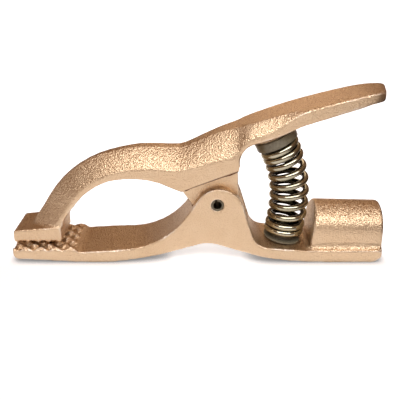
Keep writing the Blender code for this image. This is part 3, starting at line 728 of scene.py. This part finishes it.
COIL = bowed_coil()
print("tree:", COIL.name, "with", len(COIL.nodes), "nodes")

# %% [markdown]
# ## Winding the spring
# The tree is given the two seats, so that the wire starts on one and ends on the other. A stiff
# spring would leave its seats when the jaw opens.

clear = 2 * SEAT_GAP
foot = LOWER_SEAT["place"] + LOWER_SEAT["axis"] * (LOWER_SEAT["height"] * MM + clear)
head = UPPER_SEAT["place"] + UPPER_SEAT["axis"] * (UPPER_SEAT["height"] * MM + clear)
spring = put("plated_spring", bpy.data.meshes.new("plated_spring"))
coil = spring.modifiers.new("bowed coil", "NODES")
coil.node_group = COIL
set_inputs(coil, {
    "Foot": foot, "Foot Handle": foot + LOWER_SEAT["axis"] * BOW,
    "Head Handle": head + UPPER_SEAT["axis"] * BOW, "Head": head,
    "Coils": COILS, "Coil Radius": COIL_RADIUS, "Wire Radius": WIRE_RADIUS,
    "Closed Turns": CLOSED_TURNS, "Closed Rise": CLOSED_RISE, "Material": PLATED_WIRE,
})
bake(spring)

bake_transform(spring)
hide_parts("compression_spring")

# %% [markdown]
# ## Spring seats
# Dark fibre bushes keep the welding current out of the spring, which would lose its temper.
# They are turned from rod, so a profile swept round an axis makes them, with small rounds
# where the tool broke the edges.

# %% Fibre and the seats
FLECK = 1.2 * MM
FLECK_HEIGHT = 0.05 * MM
HUB_RADIUS = 6.2  # this and the next values in mm
HUB_HEIGHT = 3.4
BORE_RADIUS = 4.35
NECK = 0.45  # a shallow neck against the casting, dark in its own shadow
NECK_STEP = 0.8
EDGE_ROUND = 0.2
TURN_STEPS = 96
SEAT_PIECES = {"lower_spring_seat": (LOWER_SEAT, "lower"), "upper_spring_seat": (UPPER_SEAT, "upper")}


# Vulcanised fibre: dark grey-brown, with a waxy gloss and pressed-in flecks
def pressed_fibre():
    material, tree, shader, place = start_material("vulcanised fibre, pressed")
    fleck = noise(tree, place, FLECK, 4.0)
    tree.links.new(mixed(tree, "#5a5547", "#8d8672", fleck), shader.inputs["Base Color"])
    bump = add_node(tree, "ShaderNodeBump", {"Strength": 0.4, "Distance": FLECK_HEIGHT, "Height": fleck})
    tree.links.new(bump.outputs[0], shader.inputs["Normal"])
    shader.inputs["Roughness"].default_value = 0.2
    return material


def turned(name, profile, place, axis, material):
    """A closed profile of (radius, height) in mm, swept round an axis and smoothed."""
    mesh = bpy.data.meshes.new(name)
    edges = [(i, (i + 1) % len(profile)) for i in range(len(profile))]
    mesh.from_pydata([(radius * MM, 0.0, height * MM) for radius, height in profile], edges, [])
    obj = put(name, mesh)
    sweep = obj.modifiers.new("turn", "SCREW")
    sweep.steps = TURN_STEPS
    sweep.render_steps = TURN_STEPS
    sweep.use_merge_vertices = True
    sweep.merge_threshold = WELD
    bake(obj)
    obj.data.transform(Matrix.Translation(place) @ axis.to_track_quat("Z", "Y").to_matrix().to_4x4())
    obj.data.materials.append(material)
    obj.data.set_sharp_from_angle(angle=math.radians(40))
    return obj


def rounded(corners, radius, steps=4):
    """Corners (radius, height) of a turned profile with each of them broken by a small round."""
    found = []
    for index, corner in enumerate(corners):
        here = Vector(corner)
        before = (Vector(corners[index - 1]) - here).normalized()
        after = (Vector(corners[(index + 1) % len(corners)]) - here).normalized()
        for k in range(steps + 1):
            t = k / steps
            found.append(here + before * radius * (1 - t) ** 2 + after * radius * t ** 2)
    return [tuple(point) for point in found]


FIBRE = pressed_fibre()
for node, (seat, body) in SEAT_PIECES.items():
    top = seat["height"] + HUB_HEIGHT
    neck_radius = seat["radius"] - NECK_STEP
    corners = [
        (HUB_RADIUS, top), (HUB_RADIUS, seat["height"]), (seat["radius"], seat["height"]),
        (seat["radius"], NECK), (neck_radius, NECK), (neck_radius, 0.0),
        (BORE_RADIUS, 0.0), (BORE_RADIUS, top),
    ]
    name = node.replace("spring_seat", "fibre_bush")
    place = seat["place"] + seat["axis"] * SEAT_GAP
    bush = turned(name, rounded(corners, EDGE_ROUND), place, seat["axis"], FIBRE)
    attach(bush, body)
    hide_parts(node)

# %% [markdown]
# ## Rolled pin
# The pivot is a strip of spring steel rolled into a tube that doesn't quite close, so it grips
# its hole. A tube with a cut would do. Its end is drawn as an outline instead, pulled out
# along the hole with a small round, which keeps the open slot and the hollow middle.

# %% Dark steel and the pin
CLOUD = 2.5 * MM
PIN_WALL = 1.1 * MM
PIN_SLOT = 1.0 * MM
PIN_SLOT_ANGLE = math.radians(108)
PIN_ROUND = 0.25 * MM
ARC_STEPS = 60


# Heat-treated and oiled steel: near black, with a brown cast and a sheen on its worn rims
def oiled_steel():
    material, tree, shader, place = start_material("hardened steel, oil blacked")
    cloud = noise(tree, place, CLOUD, 4.0)
    tree.links.new(mixed(tree, "#57503f", "#8a8577", cloud), shader.inputs["Base Color"])
    tree.links.new(ranged(tree, cloud, 0.0, 1.0, 0.28, 0.46), shader.inputs["Roughness"])
    shader.inputs["Metallic"].default_value = 1.0
    return material


OILED_STEEL = oiled_steel()


def rolled_pin():
    half_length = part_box("pivot_pin")[1].y
    outline = []
    for radius, way in ((PIN_RADIUS, 1), (PIN_RADIUS - PIN_WALL, -1)):
        gap = math.asin(PIN_SLOT / 2 / radius)
        start = PIN_SLOT_ANGLE + way * gap
        sweep = way * (math.tau - 2 * gap)
        outline += [(radius, start + sweep * k / ARC_STEPS) for k in range(ARC_STEPS + 1)]
    curve = bpy.data.curves.new("rolled_pin", "CURVE")
    curve.dimensions = "2D"
    curve.fill_mode = "BOTH"
    curve.extrude = half_length - PIN_ROUND
    curve.bevel_depth = PIN_ROUND
    curve.bevel_resolution = 2
    curve.offset = -PIN_ROUND
    spline = curve.splines.new("POLY")
    spline.points.add(len(outline) - 1)
    for point, (radius, angle) in zip(spline.points, outline):
        point.co = (radius * math.cos(angle), radius * math.sin(angle), 0.0, 1.0)
    spline.use_cyclic_u = True
    guide = put("pin_outline", curve)
    graph = bpy.context.evaluated_depsgraph_get()
    mesh = bpy.data.meshes.new_from_object(guide.evaluated_get(graph))
    bpy.data.objects.remove(guide)
    mesh.transform(Matrix.Translation(PIVOT) @ Matrix.Rotation(math.radians(90), 4, "X"))
    bm = bmesh.new()
    bm.from_mesh(mesh)
    bmesh.ops.remove_doubles(bm, verts=bm.verts, dist=WELD)
    bmesh.ops.recalc_face_normals(bm, faces=bm.faces)
    bm.to_mesh(mesh)
    bm.free()
    mesh.shade_smooth()
    mesh.set_sharp_from_angle(angle=math.radians(35))
    mesh.materials.clear()
    mesh.materials.append(OILED_STEEL)
    return put("rolled_pin", mesh)


pin = rolled_pin()
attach(pin, "lower")
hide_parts("pivot_pin")
print("pin:", len(pin.data.polygons), "faces")

# %% [markdown]
# ## Cable screws
# Two socket set screws in the foot hold the cable. A thread could be left to a bump map, but
# the screws show when they stand in the bore, so theirs is real: a tube whose radius rises
# and falls once for each turn and each pitch, with a six-sided key hole sunk in its end.

# %% Threaded set screws
SCREW_PITCH = 1.25  # this and the next sizes in mm
THREAD_DEPTH = 0.55
SCREW_POINT = 1.4
SCREW_CHAMFER = 0.7
SCREW_SIDES = 48
SCREW_ROWS = 60
KEY_RADIUS = 2.3
KEY_DEPTH = 3.6


def threaded(name, length, radius):
    """A threaded rod in mm, standing on its foot, with a chamfer below and a point above."""
    bm = bmesh.new()
    rings = []
    for row in range(SCREW_ROWS + 1):
        height = length * row / SCREW_ROWS
        limit = min(radius - SCREW_CHAMFER + height, radius - SCREW_POINT + length - height)
        ring = []
        for side in range(SCREW_SIDES):
            share = side / SCREW_SIDES
            wave = abs(2 * ((height / SCREW_PITCH - share) % 1.0) - 1)
            reach = min(limit, radius - THREAD_DEPTH * wave)
            angle = math.tau * share
            ring.append(bm.verts.new((reach * math.cos(angle), reach * math.sin(angle), height)))
        rings.append(ring)
    for under, over in zip(rings, rings[1:]):
        for k in range(SCREW_SIDES):
            j = (k + 1) % SCREW_SIDES
            bm.faces.new((under[k], under[j], over[j], over[k]))
    bm.faces.new(reversed(rings[0]))
    bm.faces.new(rings[-1])
    return put(name, mesh_from(bm, name))


def sink_key_hole(screw):
    """Cuts the six-sided hole into the screw's foot."""
    bm = bmesh.new()
    bmesh.ops.create_cone(
        bm, cap_ends=True, segments=6, radius1=KEY_RADIUS, radius2=KEY_RADIUS, depth=2 * KEY_DEPTH
    )
    key = put("hex_key", mesh_from(bm, "hex_key"))
    cut = screw.modifiers.new("key hole", "BOOLEAN")
    cut.operation = "DIFFERENCE"
    cut.object = key
    bake(screw)
    bpy.data.objects.remove(key)


def set_screw(node, body):
    low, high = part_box(node)
    screw = threaded(node + "_threaded", (high.z - low.z) / MM, (high.x - low.x) / 2 / MM)
    sink_key_hole(screw)
    middle = (low + high) / 2
    screw.data.transform(Matrix.Translation((middle.x, middle.y, low.z)) @ Matrix.Scale(MM, 4))
    screw.data.set_sharp_from_angle(angle=math.radians(50))
    screw.data.materials.append(OILED_STEEL)
    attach(screw, body)
    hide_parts(node)


for node, body in (("cable_screw_inner", "inner_screw"), ("cable_screw_outer", "outer_screw")):
    set_screw(node, body)
